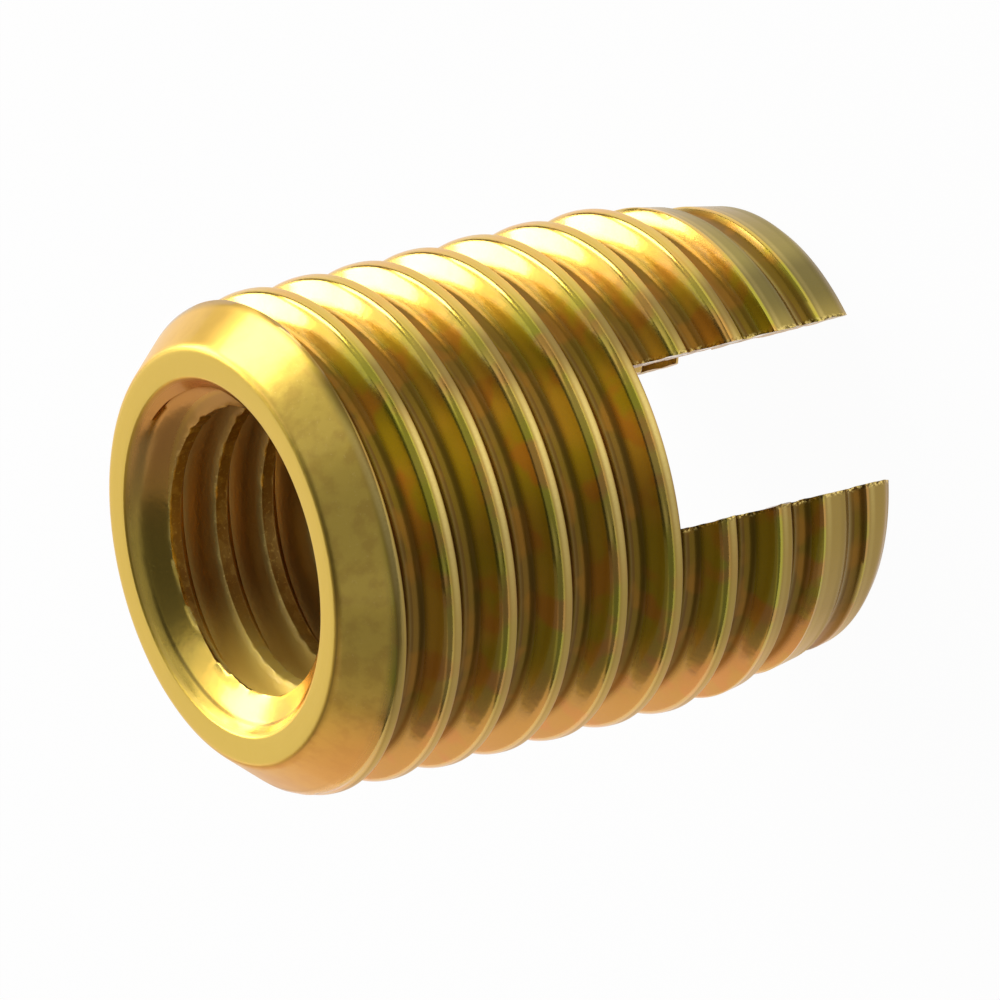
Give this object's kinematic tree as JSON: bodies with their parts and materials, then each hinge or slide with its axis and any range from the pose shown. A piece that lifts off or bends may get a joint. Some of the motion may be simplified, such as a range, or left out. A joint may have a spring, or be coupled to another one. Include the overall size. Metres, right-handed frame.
{
  "type": "self-tapping threaded insert",
  "caption": "Slotted self-tapping threaded insert: a steel bush with a coarse outer thread, a cutting slot across its tapered lead end and a threaded bore for a machine screw.",
  "frame": {"origin": "on the axis, at the middle of the slotted lead end that the insert stands on", "axes": "+Z along the axis from the slotted lead end to the plain face, Y along the cutting slot, X across it"},
  "size_m": [0.0118, 0.0118, 0.015],
  "materials": {
    "yellow_zinc_steel": "bright zinc plating with a yellow passivated film"
  },
  "bodies": {
    "root": {"insert": "yellow_zinc_steel"}
  },
  "joints": []
}
